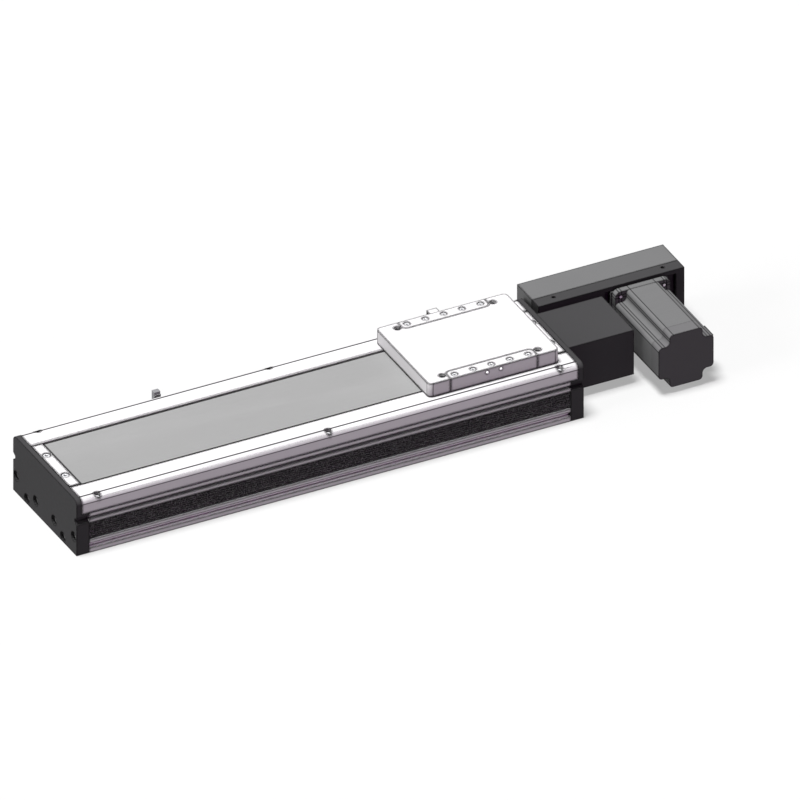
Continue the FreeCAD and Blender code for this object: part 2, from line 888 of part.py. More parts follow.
def toothed_pulley(x, teeth, sizes, y0, y1, flange, rise):
    """A flanged pulley with grooves for the belt's teeth, one of them straight up."""
    pitch, height, base, tip, land, back = sizes
    radius = teeth * pitch / (2 * math.pi)
    outline = []
    for i in range(teeth):
        middle = math.pi / 2 - i * 2 * math.pi / teeth
        for along, depth in (
            (-base / 2 - mesh_gap, land + mesh_gap), (-tip / 2 - mesh_gap, land + height + mesh_gap),
            (tip / 2 + mesh_gap, land + height + mesh_gap), (base / 2 + mesh_gap, land + mesh_gap),
        ):
            reach = radius - depth
            turn = middle - along / reach
            outline.append((x + reach * math.cos(turn), shaft_height + reach * math.sin(turn)))
    toothed = prism_y(outline, y0 + flange, y1 - flange)
    rim = radius + rise
    near = bar_y(y0, y0 + flange, x, shaft_height, rim)
    far = bar_y(y1 - flange, y1, x, shaft_height, rim)
    return joined([toothed, near, far])


main_belt_sizes = (belt_pitch, belt_tooth_height, belt_tooth_base, belt_tooth_tip,
                   belt_land_offset, belt_back_offset)
side_belt_sizes = (side_pitch, side_tooth_height, side_tooth_base, side_tooth_tip,
                   side_land_offset, side_back_offset)


def main_belt():
    return toothed_belt(drive_x, belt_pulley_teeth, belt_centres_in_pitches, main_belt_sizes,
                        -belt_width / 2, belt_width / 2)


def side_belt():
    middle = side_pulley_start + side_pulley_flange + side_pulley_face / 2
    return toothed_belt(motor_x, side_teeth, side_centres_in_pitches, side_belt_sizes,
                        middle - side_belt_width / 2, middle + side_belt_width / 2)


def main_pulley(x):
    return toothed_pulley(x, belt_pulley_teeth, main_belt_sizes, -pulley_half, pulley_half,
                          pulley_flange, pulley_flange_rise)


def side_pulley(x, bore):
    end = side_pulley_start + side_pulley_face + 2 * side_pulley_flange
    pulley = toothed_pulley(x, side_teeth, side_belt_sizes, side_pulley_start, end,
                            side_pulley_flange, pulley_flange_rise)
    return without(pulley, [hole_y(side_pulley_start - 1, end + 1, x, shaft_height, bore + press_gap)])


def ball_bearing(x, y0, width, outer, bore):
    """A closed ball bearing, with a press fit outside and a running fit on its shaft."""
    ring = bar_y(y0, y0 + width, x, shaft_height, outer - press_gap)
    return without(ring, [hole_y(y0 - 1, y0 + width + 1, x, shaft_height, bore + running_gap)])


# Idler and belt tensioner

def idler_pulley():
    cuts = [hole_y(-pulley_half - 1, pulley_half + 1, idler_x, shaft_height, idler_axle_radius + idler_bore_gap)]
    seat = hole_y(pulley_half - idler_bearing_width, pulley_half + 1, idler_x, shaft_height, idler_bearing_radius)
    return without(main_pulley(idler_x), cuts + both_sides(seat))


def idler_bearings():
    far = ball_bearing(idler_x, pulley_half - idler_bearing_width, idler_bearing_width,
                       idler_bearing_radius, idler_axle_radius)
    return both_sides(far)


def idler_axle():
    return rod_y(-cheek_outer, cheek_outer, idler_x, shaft_height, idler_axle_radius)


def tension_block():
    """A fork that carries the idler's axle and slides on the floor of the base."""
    outline = [
        (-cheek_outer, floor_thickness), (cheek_outer, floor_thickness), (cheek_outer, tension_block_top),
        (cheek_inner, tension_block_top), (cheek_inner, floor_thickness + tension_web),
        (-cheek_inner, floor_thickness + tension_web), (-cheek_inner, tension_block_top),
        (-cheek_outer, tension_block_top),
    ]
    block = prism_x(outline, tension_start, tension_end)
    cuts = [hole_y(-cheek_outer - 1, cheek_outer + 1, idler_x, shaft_height, idler_axle_radius + press_gap)]
    for y in (-tension_screw_y, tension_screw_y):
        cuts.append(hole_x(tension_start - 1, tension_start + end_screw_grip + 1, y, tension_screw_z,
                          m6_radius + thread_gap))
    return without(block, cuts)


def tension_screws():
    seat = -half_length + end_screw_sink
    screw = cap_screw(m6_head_radius, m6_head_height, m6_radius, tension_start + end_screw_grip - seat)
    return [placed(screw, seat, y, tension_screw_z, (-1, 0, 0)) for y in (-tension_screw_y, tension_screw_y)]


def end_bumpers():
    """Rubber stops that meet the saddle just past each end of the travel."""
    reach = saddle_length / 2
    low = carriage_x - reach - sensor_stroke - over_travel - bumper_gap
    high = end_inner - bumper_length
    near_idler = bar_x(tension_end, low, bumper_y, bumper_z, bumper_radius)
    near_drive = bar_x(high, end_inner, bumper_y, bumper_z, bumper_radius)
    return both_sides(near_idler) + both_sides(near_drive)


# Belt clamp on the carriage

def belt_tooth_block():
    """The toothed plate under the belt, in mesh with it."""
    reach = belt_clamp_length / 2
    top = belt_top_land - mesh_gap
    block = box(carriage_x - reach, carriage_x + reach, -tooth_block_half_width, tooth_block_half_width,
                saddle_top, top)
    bottom = top - belt_tooth_height
    cuts = []
    for i in range(belt_centres_in_pitches + 1):
        x = drive_x - i * belt_pitch
        if abs(x - carriage_x) > reach + belt_pitch / 2:
            continue
        mouth = belt_tooth_base / 2 + mesh_gap
        floor = belt_tooth_tip / 2 + mesh_gap
        outline = [(x - mouth, top), (x - floor, bottom), (x + floor, bottom), (x + mouth, top)]
        cuts.append(prism_y(outline, -tooth_block_half_width - 1, tooth_block_half_width + 1))
    return without(block, cuts)


def belt_clamp():
    inner = tooth_block_half_width + seat_gap
    outer = inner + belt_clamp_shell
    low_roof = belt_top_back + press_gap
    roof = low_roof + belt_clamp_shell
    ear = saddle_top + belt_clamp_ear
    outline = [
        (inner, saddle_top), (belt_clamp_half_width, saddle_top), (belt_clamp_half_width, ear),
        (outer, ear), (outer, roof), (-outer, roof), (-outer, ear), (-belt_clamp_half_width, ear),
        (-belt_clamp_half_width, saddle_top), (-inner, saddle_top), (-inner, low_roof), (inner, low_roof),
    ]
    return prism_x(outline, carriage_x - belt_clamp_length / 2, carriage_x + belt_clamp_length / 2)


def belt_clamp_screws():
    head = hexagon(m3_head_radius, 0, hidden_head_height)
    places = [(carriage_x + a * belt_clamp_screw_span, s * belt_clamp_screw_y)
              for a in (-0.5, 0.5) for s in (-1, 1)]
    return [placed(head, x, y, saddle_top + belt_clamp_ear, (0, 0, 1)) for x, y in places]


# Drive box

def drive_box_screw_places():
    return [(s * drive_box_screw_y, z) for s in (-1, 1) for z in (drive_box_screw_low, drive_box_screw_high)]


def drive_box():
    body = box(half_length, drive_box_end, drive_box_near, housing_near, drive_box_low, drive_box_high)
    cavity = box(half_length - 1, drive_x, -drive_cavity_half, drive_cavity_half,
                 shaft_height - drive_cavity_radius, shaft_height + drive_cavity_radius)
    bend = rod_y(-drive_cavity_half, drive_cavity_half, drive_x, shaft_height, drive_cavity_radius)
    blind_end = drive_cavity_half + drive_bearing_inset + drive_bearing_width + seat_gap
    seats = hole_y(-blind_end, housing_near + 1, drive_x, shaft_height, drive_bearing_radius)
    cuts = [cavity, bend, seats]
    for y, z in drive_box_screw_places():
        cuts.append(hole_x(half_length - 1, half_length + end_screw_grip, y, z, m4_radius + thread_gap))
    return without(body, cuts)


def drive_box_screws():
    seat = end_inner + m4_head_height
    screw = plain_screw(m4_head_radius, hidden_head_height, m4_radius,
                        half_length - seat + end_screw_grip - screw_tip_gap)
    return [placed(screw, seat, y, z, (-1, 0, 0)) for y, z in drive_box_screw_places()]


def drive_support():
    """A small gusset in the corner between the end plate and the underside of the drive box."""
    outline = [
        (half_length, drive_box_low), (half_length + support_length, drive_box_low),
        (half_length + support_length * 0.4, drive_box_low - support_drop * 0.45),
        (half_length, drive_box_low - support_drop),
    ]
    return prism_y(outline, drive_box_near, drive_box_near + support_width)


def drive_bearings():
    start = drive_cavity_half + drive_bearing_inset
    far = ball_bearing(drive_x, start, drive_bearing_width, drive_bearing_radius, drive_shaft_radius)
    return both_sides(far)


def drive_shaft():
    near = -drive_cavity_half - drive_bearing_inset - drive_bearing_width
    far = side_pulley_start + side_pulley_face + 2 * side_pulley_flange
    return rod_y(near, far, drive_x, shaft_height, drive_shaft_radius)


def drive_pulley():
    bore = hole_y(-pulley_half - 1, pulley_half + 1, drive_x, shaft_height, drive_shaft_radius + press_gap)
    return without(main_pulley(drive_x), [bore])


# Side belt housing

def housing_screw_places():
    xs = (housing_start + housing_screw_inset, housing_end - housing_screw_inset)
    zs = (housing_low + housing_screw_inset, housing_high - housing_screw_inset)
    return [(x, z) for x in xs for z in zs]


def housing_front_plate():
    plate = box(housing_start, housing_end, housing_near, plate_far, housing_low, housing_high)
    cuts = [
        box(pocket_start, pocket_end, housing_near - 1, pocket_floor,
            shaft_height - pocket_half_height, shaft_height + pocket_half_height),
        hole_y(housing_near - 1, plate_far + 1, drive_x, shaft_height, drive_shaft_hole_radius),
        hole_y(housing_near, plate_far + 1, motor_x, shaft_height, motor_pilot_radius),
    ]
    for x in (housing_start + top_hole_inset_start, housing_end - top_hole_inset_end):
        cuts.append(hole_z(housing_high - top_hole_depth, housing_high + 1, x,
                          (housing_near + plate_far) / 2 + top_hole_shift, top_hole_radius))
    for x, z in adapter_screw_places():
        cuts.append(hole_y(housing_near, plate_far + 1, x, z, m4_radius + thread_gap))
    for x, z in housing_screw_places():
        cuts.append(hole_y(plate_far - housing_screw_grip, plate_far + 1, x, z, m4_radius + thread_gap))
    return without(plate, cuts)


def housing_rear_cover():
    shell = box(housing_start, housing_end, plate_far, housing_far, housing_low, housing_high)
    cavity = box(housing_start + housing_wall, housing_end - housing_wall, plate_far - 1,
                 housing_far - housing_wall, housing_low + housing_wall, housing_high - housing_wall)
    posts = []
    for x, z in housing_screw_places():
        posts.append(box(x - housing_post / 2, x + housing_post / 2, plate_far - 1, housing_far,
                         z - housing_post / 2, z + housing_post / 2))
    shell = without(shell, [without(cavity, posts)])
    cuts = []
    for x, z in housing_screw_places():
        cuts.append(hole_y(housing_far - m4_head_height, housing_far + 1, x, z, m4_head_radius + counterbore_gap))
        cuts.append(hole_y(plate_far - 1, housing_far - m4_head_height, x, z, m4_radius + thread_gap))
    return without(shell, cuts).removeSplitter()


def housing_screws():
    seat = housing_far - m4_head_height
    screw = cap_screw(m4_head_radius, m4_head_height - housing_screw_sink, m4_radius,
                      seat - plate_far + housing_screw_grip - screw_tip_gap)
    return [placed(screw, x, seat, z, (0, 1, 0)) for x, z in housing_screw_places()]


# Motor adapter plate

def adapter_screw_places():
    return [(motor_x + a * adapter_screw_x, shaft_height + b * adapter_screw_z) for a in (-1, 1) for b in (-1, 1)]


def motor_screw_places():
    half = motor_hole_spacing / 2
    return [(motor_x + a * half, shaft_height + b * half) for a in (-1, 1) for b in (-1, 1)]


def motor_adapter_plate():
    half = adapter_length / 2
    plate = box(motor_x - half, motor_x + half, motor_face, pocket_floor,
                shaft_height - pocket_half_height + running_gap, shaft_height + pocket_half_height - running_gap)
    cuts = [hole_y(motor_face - 1, pocket_floor + 1, motor_x, shaft_height, motor_pilot_radius + running_gap)]
    for x, z in motor_screw_places():
        cuts.append(hole_y(pocket_floor - m3_head_height, pocket_floor + 1, x, z, m3_head_radius))
        cuts.append(hole_y(motor_face - 1, pocket_floor, x, z, m3_radius + thread_gap))
    for x, z in adapter_screw_places():
        cuts.append(hole_y(motor_face + adapter_screw_floor, pocket_floor + 1, x, z, m4_radius + thread_gap))
    return without(plate, cuts)


def adapter_screws():
    grip = plate_far - motor_face - adapter_screw_floor - screw_tip_gap
    screw = plain_screw(m4_head_radius, adapter_head_height, m4_radius, grip)
    return [placed(screw, x, plate_far, z, (0, 1, 0)) for x, z in adapter_screw_places()]


def motor_screws():
    seat = pocket_floor - m3_head_height
    screw = cap_screw(m3_head_radius - motor_head_gap, m3_head_height - motor_head_gap, m3_radius,
                      seat - motor_rear_of_flange - motor_screw_tip_gap)
    return [placed(screw, x, seat, z, (0, 1, 0)) for x, z in motor_screw_places()]


# Motor

def notched_square(y0, y1):
    """A length of the motor's body: a square with a rounded notch at each corner."""
    half = motor_size / 2
    step = half - motor_notch
    quarter = [(step, half), (step, step), (half, step)]
    outline = []
    for a, b in ((1, 1), (1, -1), (-1, -1), (-1, 1)):
        points = [(motor_x + a * x, shaft_height + b * z) for x, z in quarter]
        outline += points if a * b > 0 else points[::-1]
    body = prism_y(outline, y0, y1)
    shoulders = [(motor_x + a * p, shaft_height + b * q)
                 for p, q in ((step, half), (half, step)) for a in (-1, 1) for b in (-1, 1)]
    corners = [(motor_x + a * step, shaft_height + b * step) for a in (-1, 1) for b in (-1, 1)]
    body = rounded(body, 1, shoulders, motor_notch_outer_radius)
    return rounded(body, 1, corners, motor_notch_inner_radius)


def motor_front_flange():
    half = motor_size / 2
    flange = box(motor_x - half, motor_x + half, motor_rear_of_flange, motor_face,
                 shaft_height - half, shaft_height + half)
    corners = [(motor_x + a * half, shaft_height + b * half) for a in (-1, 1) for b in (-1, 1)]
    flange = rounded(flange, 1, corners, motor_flange_corner)
    pilot = bar_y(motor_face, motor_face + motor_pilot_height, motor_x, shaft_height, motor_pilot_radius)
    cuts = [
        hole_y(motor_rear_of_flange - 1, motor_rear_of_flange + motor_bearing_width, motor_x, shaft_height,
               motor_bearing_radius),
        hole_y(motor_rear_of_flange, motor_face + motor_pilot_height + 1, motor_x, shaft_height,
               motor_shaft_radius + motor_shaft_gap),
    ]
    for x, z in motor_screw_places():
        cuts.append(hole_y(motor_rear_of_flange - 1, motor_face + 1, x, z, m3_radius + thread_gap))
    return without(joined([flange, pilot]), cuts)


def motor_stator():
    body = notched_square(motor_rear_of_body, motor_rear_of_flange)
    bore = hole_y(motor_rear_of_body - 1, motor_rear_of_flange + 1, motor_x, shaft_height, rotor_radius + rotor_gap)
    return without(body, [bore])


def motor_end_cap():
    cap = notched_square(motor_end, motor_rear_of_body)
    seat = hole_y(motor_rear_of_body - motor_bearing_width, motor_rear_of_body + 1, motor_x, shaft_height,
                  motor_bearing_radius)
    return without(cap, [seat])


def motor_bearings():
    front = ball_bearing(motor_x, motor_rear_of_flange, motor_bearing_width, motor_bearing_radius,
                         motor_shaft_radius)
    rear = ball_bearing(motor_x, motor_rear_of_body - motor_bearing_width, motor_bearing_width,
                        motor_bearing_radius, motor_shaft_radius)
    return [front, rear]


def motor_rotor():
    shaft = rod_y(motor_rear_of_body - motor_bearing_width + 1, motor_face + motor_shaft_reach, motor_x,
                  shaft_height, motor_shaft_radius)
    core = bar_y(motor_rear_of_body + rotor_inset, motor_rear_of_flange - rotor_inset, motor_x, shaft_height,
                 rotor_radius)
    return joined([shaft, core])


def motor_connector():
    """The plug socket on the side of the motor that faces away from the base."""
    start = motor_x + motor_size / 2
    y0 = motor_rear_of_body + connector_inset
    shell = box(start, start + connector_reach, y0, y0 + connector_length,
                shaft_height - connector_height / 2, shaft_height + connector_height / 2)
    well = box(start + connector_wall, start + connector_reach + 1, y0 + connector_wall,
               y0 + connector_length - connector_wall, shaft_height - connector_height / 2 + connector_wall,
               shaft_height + connector_height / 2 - connector_wall)
    return without(shell, [well])


# Limit sensors and flag

def sensor_flag():
    near = carriage_half
    top = carriage_high - flag_drop
    far = near + flag_reach
    thin = flag_thickness
    outline = [
        (near, top - flag_foot), (near + thin, top - flag_foot), (near + thin, top - thin),
        (far - thin, top - thin), (far - thin, top - flag_tab), (far, top - flag_tab), (far, top), (near, top),
    ]
    return prism_x(outline, flag_x - flag_width / 2, flag_x + flag_width / 2)


def sensor_y():
    return half_width + sensor_bracket_thickness


def limit_sensor(x):
    return box(x - sensor_width / 2, x + sensor_width / 2, sensor_y(), sensor_y() + sensor_depth,
               sensor_low, sensor_high)


def sensor_bracket(x):
    half = sensor_bracket_width / 2
    narrow = sensor_width / 2
    plate = box(x - half, x + half, half_width, sensor_y(), sensor_bracket_low, sensor_low)
    tongue = box(x - narrow, x + narrow, half_width, sensor_y(), sensor_low, body_height)
    hole = hole_y(half_width - 1, sensor_y() + 1, x, sensor_screw_z, m3_radius + thread_gap)
    return without(joined([plate, tongue]), [hole])


def sensor_screws():
    head = m3_head_height * sensor_head_share
    screw = cap_screw(m3_head_radius, head, m3_radius - 2 * thread_gap, clamp_groove_depth)
    return [placed(screw, x, sensor_y(), sensor_screw_z, (0, 1, 0)) for x in sensor_xs]


export("base_extrusion", base_extrusion())
export("side_infill_strips", both_sides(side_infill()))
export("drive_end_plate", drive_end_plate())
export("tension_end_plate", tension_end_plate())
export("end_plate_screws", end_plate_screws(1) + end_plate_screws(-1))
export("side_cover_far", side_cover())
export("side_cover_near", mirror_y(side_cover()))
export("cover_screws", cover_screws())
export("cover_strip", cover_strip())
export("strip_bars", [strip_bar(), mirror_x(strip_bar())])
export("strip_clamps", [strip_clamp(), mirror_x(strip_clamp())])
export("strip_clamp_screws", strip_clamp_screws())
export("guide_rails", both_sides(guide_rail()))
export("rail_screws", rail_screws())
export("bearing_blocks", bearing_blocks(1) + bearing_blocks(-1))
export("carriage_saddle", carriage_saddle())
export("saddle_screws", saddle_screws())
export("carriage_leg_far", carriage_leg())
export("carriage_leg_near", mirror_y(carriage_leg()))
export("leg_screws", leg_screws())
export("carriage_plate", carriage_plate())
export("carriage_insert_far", carriage_insert())
export("carriage_insert_near", mirror_y(carriage_insert()))
export("insert_screws", insert_screws())
export("belt_tooth_block", belt_tooth_block())
export("belt_clamp", belt_clamp())
export("belt_clamp_screws", belt_clamp_screws())
export("main_belt", main_belt())
export("idler_pulley", idler_pulley())
export("idler_bearings", idler_bearings())
export("idler_axle", idler_axle())
export("tension_block", tension_block())
export("tension_screws", tension_screws())
export("end_bumpers", end_bumpers())
export("drive_box", drive_box())
export("drive_box_screws", drive_box_screws())
export("drive_support", drive_support())
export("drive_bearings", drive_bearings())
export("drive_shaft", drive_shaft())
export("drive_pulley", drive_pulley())
export("side_pulley_driven", side_pulley(drive_x, drive_shaft_radius))
export("side_pulley_motor", side_pulley(motor_x, motor_shaft_radius))
export("side_belt", side_belt())
export("housing_front_plate", housing_front_plate())
export("housing_rear_cover", housing_rear_cover())
export("housing_screws", housing_screws())
export("motor_adapter_plate", motor_adapter_plate())
export("adapter_screws", adapter_screws())
export("motor_screws", motor_screws())
export("motor_front_flange", motor_front_flange())
export("motor_stator", motor_stator())
export("motor_end_cap", motor_end_cap())
export("motor_bearings", motor_bearings())
export("motor_rotor", motor_rotor())
export("motor_connector", motor_connector())
export("sensor_flag", sensor_flag())
export("limit_sensors", [limit_sensor(x) for x in sensor_xs])
export("sensor_brackets", [sensor_bracket(x) for x in sensor_xs])
export("sensor_screws", sensor_screws())
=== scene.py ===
import json
import math

import bmesh
import bpy
from mathutils import Matrix, Vector


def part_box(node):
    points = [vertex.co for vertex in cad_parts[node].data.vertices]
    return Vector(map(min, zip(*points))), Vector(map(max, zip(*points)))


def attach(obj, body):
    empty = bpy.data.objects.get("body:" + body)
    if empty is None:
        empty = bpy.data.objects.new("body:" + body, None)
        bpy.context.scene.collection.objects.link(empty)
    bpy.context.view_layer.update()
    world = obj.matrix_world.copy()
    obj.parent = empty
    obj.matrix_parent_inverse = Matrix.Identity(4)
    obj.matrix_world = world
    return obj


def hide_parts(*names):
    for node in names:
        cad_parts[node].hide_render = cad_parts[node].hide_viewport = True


MM = 0.001

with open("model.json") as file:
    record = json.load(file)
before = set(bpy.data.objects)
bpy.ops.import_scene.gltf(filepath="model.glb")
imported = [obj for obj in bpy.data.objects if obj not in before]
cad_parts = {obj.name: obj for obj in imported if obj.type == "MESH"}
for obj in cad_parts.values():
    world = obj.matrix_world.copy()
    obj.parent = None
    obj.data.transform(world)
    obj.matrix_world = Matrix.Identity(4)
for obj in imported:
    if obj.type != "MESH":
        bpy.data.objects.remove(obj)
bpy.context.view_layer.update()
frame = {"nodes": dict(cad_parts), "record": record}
nodes = frame["nodes"]
slot_of = {part["node"]: part["material_slot"] for part in frame["record"]["subparts"]}

# Camera: a parallel view of the whole axis, from its motor side and above
camera_azimuth = math.radians(-26.96)
camera_elevation = math.radians(32.46)
camera_width = 776 * MM
camera_distance = 2.0
camera_reach = 20.0
camera_target = Vector((121.3, 21.1, 14.6)) * MM

# Suns, as what a level white surface would give back, with their lean from overhead and their spread
key_light = 2.95
key_lean = math.radians(10)
key_spread = math.radians(20)
fill_light = 0.70
fill_lean = math.radians(70)
fill_spread = math.radians(30)
front_light = 0.09
front_color = (1, 0, 1)
front_lean = math.radians(88)
front_turn = math.radians(-90)
front_spread = math.radians(10)

# The world: an even sky, and brighter under a direction's height for views from low down
sky_light = 0.12
under_light = 0.88
under_height = -0.03

# Floor: it glows a little, so that shadows on it stay pale
floor_half = 6.0
floor_grey = 0.19
floor_glow = 0.38
floor_drop = 0.3 * MM

# Edges: how far each kind of piece is broken at its corners
machined_edge = 0.35 * MM
extruded_edge = 0.25 * MM
cast_edge = 0.5 * MM
sheet_edge = 0.12 * MM
weld_distance = 0.002 * MM
flat_angle = math.radians(0.6)
broken_angle = math.radians(38)
crisp_angle = math.radians(28)

# Darkening in the finishes: painted shade in corners and gaps, and lines along edges and where a rounding
# begins
# Painted shade in corners, holes and gaps: how far it reaches, and the occlusion values over which it
# fades out
wide_crevice_shade = 5.0 * MM
motor_crevice_shade_reach = 4.0 * MM
strip_crevice_shade = 1.6 * MM
narrow_crevice_shade = 1.2 * MM
crevice_shade_full_below = 0.25
crevice_shade_none_above = 0.75
edge_line = 3.0 * MM
fine_edge_line = 2.0 * MM
tangent_line = 1.2 * MM
line_core = 0.25
line_fade = 0.6
edge_turned = 0.955
edge_flat = 0.994

# Textures that several finishes share, as features to the metre
cloud_scale = 9.0
smear_scale = 300.0
grain_scale = 1800.0
grain_height = 0.004 * MM
along_x = (0.02, 1, 1)
across_motor = (0.01, 1, 0.01)

# Places on the part that the finishes and the small pieces are laid out from
cover_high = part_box("side_cover_far")[1]
cover_rounding = 6.0 * MM
strip_clamp_edge = 256.8 * MM
foot_groove_middle = 7.95 * MM
foot_groove_reach = 2.7 * MM
# painted light inside the foot grooves, as a gain on their colour
foot_groove_painted_light = 2.2
plate_low, plate_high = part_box("carriage_plate")
plate_middle = (plate_low + plate_high) / 2
plate_half = (plate_high - plate_low) / 2
plate_corner = 4.5 * MM
stator_low, stator_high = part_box("motor_stator")
motor_axis = (stator_low + stator_high) / 2
motor_half = (stator_high.x - stator_low.x) / 2
motor_notch = 12.0 * MM
motor_outer_rounding = 4.0 * MM
motor_inner_rounding = 5.0 * MM
motor_end, motor_seam = (corner.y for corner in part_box("motor_end_cap"))
# painted shade on the motor's end face
motor_end_painted_shade = 0.68

# How deep under a face a finish still counts a point as on that face
cover_skin = 0.3 * MM
base_skin = 0.4 * MM
plate_skin = 0.2 * MM
motor_skin = 0.5 * MM
motor_end_skin = 0.1 * MM
motor_end_fade = 0.4 * MM

# Pins in the inserts' outer faces, and threads in the carriage's holes
pin_spacing = 14.8 * MM
pin_drop = 4.2 * MM
pin_depth = 3.5 * MM
pin_radius = 1.25 * MM
pin_shoulder = 0.1 * MM
pin_dome_radius = 0.9 * MM
pin_dome_height = 0.8 * MM
pin_top = 1.1 * MM
thread_spacing = Vector((104, 96)) * MM
thread_low = 64.5 * MM
thread_high = 76.4 * MM
thread_radius = 3.4 * MM
thread_pitch = 1.25 * MM
thread_root_gap = 0.02 * MM
thread_crest = 0.3 * MM

# Screws: node, body, axis that its heads face along, then head height and shank radius in mm.
# A screw that lies along X faces away from the middle.
up, far_side, outward = Vector((0, 0, 1)), Vector((0, 1, 0)), Vector((1, 0, 0))
screw_table = (
    ("end_plate_screws", "base", outward, 6.0, 3.0),
    ("tension_screws", "base", outward, 6.0, 3.0),
    ("cover_screws", "base", up, 3.0, 1.5),
    ("strip_clamp_screws", "base", up, 4.0, 2.0),
    ("insert_screws", "carriage", up, 3.0, 1.5),
    ("motor_screws", "base", far_side, 2.8, 1.5),
    ("housing_screws", "base", far_side, 3.6, 2.0),
    ("sensor_screws", "base", far_side, 1.8, 1.4),
)
round_points = 48


# Materials

class Finish:
    """A material with its shader, and the textures that most finishes share."""

    def __init__(self, name, color, roughness, metallic=0.0, specular=0.5):
        self.material = bpy.data.materials.new(name)
        self.material.use_nodes = True
        self.tree = self.material.node_tree
        self.shader = self.tree.nodes["Principled BSDF"]
        self.color = color
        self.roughness = roughness
        self.set("Base Color", (*color, 1))
        self.set("Roughness", roughness)
        self.set("Metallic", metallic)
        self.set("Specular IOR Level", specular)
        self.place = self.node("ShaderNodeTexCoord").outputs["Object"]
        self.split = None
        self.tint = None
        self.height = None

    def node(self, kind, **values):
        made = self.tree.nodes.new(kind)
        for name, value in values.items():
            setattr(made, name, value)
        return made

    def set(self, socket, value):
        self.shader.inputs[socket].default_value = value

    def link(self, source, target):
        self.tree.links.new(source, target)

    def math(self, operation, *values):
        node = self.node("ShaderNodeMath", operation=operation)
        for socket, value in zip(node.inputs, values):
            if isinstance(value, (int, float)):
                socket.default_value = value
            else:
                self.link(value, socket)
        return node.outputs["Value"]

    def along(self, axis):
        """A point's place along X, Y or Z on the part, in metres."""
        if self.split is None:
            self.split = self.node("ShaderNodeSeparateXYZ")
            self.link(self.place, self.split.inputs["Vector"])
        return self.split.outputs[axis]

    def off(self, value, middle):
        """How far a value lies from its middle, either way."""
        return self.math("ABSOLUTE", self.math("SUBTRACT", value, middle))

    def noise(self, scale, stretch=(1, 1, 1), detail=3.0, rough=0.5):
        """Noise with scale features to the metre, drawn out along an axis where stretch is under one."""
        mapping = self.node("ShaderNodeMapping")
        mapping.inputs["Scale"].default_value = stretch
        self.link(self.place, mapping.inputs["Vector"])
        noise = self.node("ShaderNodeTexNoise")
        noise.inputs["Scale"].default_value = scale
        noise.inputs["Detail"].default_value = detail
        noise.inputs["Roughness"].default_value = rough
        self.link(mapping.outputs["Vector"], noise.inputs["Vector"])
        return noise.outputs["Fac"]

    def spread(self, value, low, high, start=0.3, end=0.7):
        """A texture value from start to end, drawn out to run from low to high."""
        node = self.node("ShaderNodeMapRange")
        for socket, number in (("From Min", start), ("From Max", end), ("To Min", low), ("To Max", high)):
            node.inputs[socket].default_value = number
        self.link(value, node.inputs["Value"])
        return node.outputs["Result"]

    def multiply(self, factor):
        """Multiplies the colour by a texture value."""
        self.tint = factor if self.tint is None else self.math("MULTIPLY", self.tint, factor)

    def shade(self, value, dark, light):
        """Multiplies the colour by dark to light as the texture value goes from low to high."""
        self.multiply(self.spread(value, dark, light))

    def darken(self, value, dark, start, end):
        """Multiplies the colour by dark up to start of the value, and leaves it alone from end on."""
        self.multiply(self.spread(value, dark, 1.0, start, end))

    def paint_crevice_shade(self, reach, strength):
        """Paints shade into the colour in corners, holes and narrow gaps, where shade falls."""
        shade = self.node("ShaderNodeAmbientOcclusion", samples=8)
        shade.inputs["Distance"].default_value = reach
        self.darken(shade.outputs["AO"], 1 - strength, crevice_shade_full_below, crevice_shade_none_above)

    def edges(self, width, strength, clear=None):
        """Darkens a thin line along every edge, where the coating is thin and dirt rubs in.

        Where clear is given, a joint across Y at that place has no such line.
        """
        soft = self.node("ShaderNodeBevel", samples=6)
        soft.inputs["Radius"].default_value = width
        flat = self.node("ShaderNodeNewGeometry").outputs["Normal"]
        turn = self.node("ShaderNodeVectorMath", operation="DOT_PRODUCT")
        self.link(soft.outputs["Normal"], turn.inputs[0])
        self.link(flat, turn.inputs[1])
        flatness = turn.outputs["Value"]
        if clear is not None:
            near = self.math("LESS_THAN", self.off(self.along("Y"), clear), width)
            flatness = self.math("MAXIMUM", flatness, near)
        self.darken(flatness, 1 - strength, edge_turned, edge_flat)

    def line(self, axis, place, gate_axis, gate, strength, middle=(0, 0, 0), width=tangent_line,
             above=None):
        """Darkens a thin line at a place along an axis, only where the other axis is past its gate.

        Both are measured either way from the middle. Where above is given, the line lies only over
        that height.
        """
        centre = dict(zip("XYZ", middle))
        off_middle, off_gate = (self.off(self.along(name), centre[name]) for name in (axis, gate_axis))
        off_line = self.off(off_middle, place)
        shade = self.spread(off_line, 1 - strength, 1.0, line_core * width, line_fade * width)
        spared = self.math("LESS_THAN", off_gate, gate)
        if above is not None:
            spared = self.math("MAXIMUM", spared, self.math("LESS_THAN", self.along("Z"), above))
        self.multiply(self.math("MAXIMUM", shade, spared))

    def smears(self, value, amount):
        """Lets the roughness wander by an amount either way."""
        wander = self.spread(value, self.roughness - amount, self.roughness + amount)
        self.link(wander, self.shader.inputs["Roughness"])

    def bump(self, value, depth):
        """Gives relief: depth is the height in metres that the texture value's full range stands for."""
        self.height = self.math("MULTIPLY", value, depth)

    def fine_grain(self):
        """The relief of a blasted or painted face."""
        self.bump(self.noise(grain_scale, detail=1.0), grain_height)

    def done(self):
        mix = self.node("ShaderNodeMix", data_type="RGBA", blend_type="MULTIPLY")
        mix.inputs["Factor"].default_value = 1.0
        mix.inputs["A"].default_value = (*self.color, 1)
        self.link(self.tint, mix.inputs["B"])
        self.link(mix.outputs["Result"], self.shader.inputs["Base Color"])
        if self.height is not None:
            bump = self.node("ShaderNodeBump")
            bump.inputs["Strength"].default_value = 1.0
            bump.inputs["Distance"].default_value = 1.0
            self.link(self.height, bump.inputs["Height"])
            self.link(bump.outputs["Normal"], self.shader.inputs["Normal"])
        return self.material


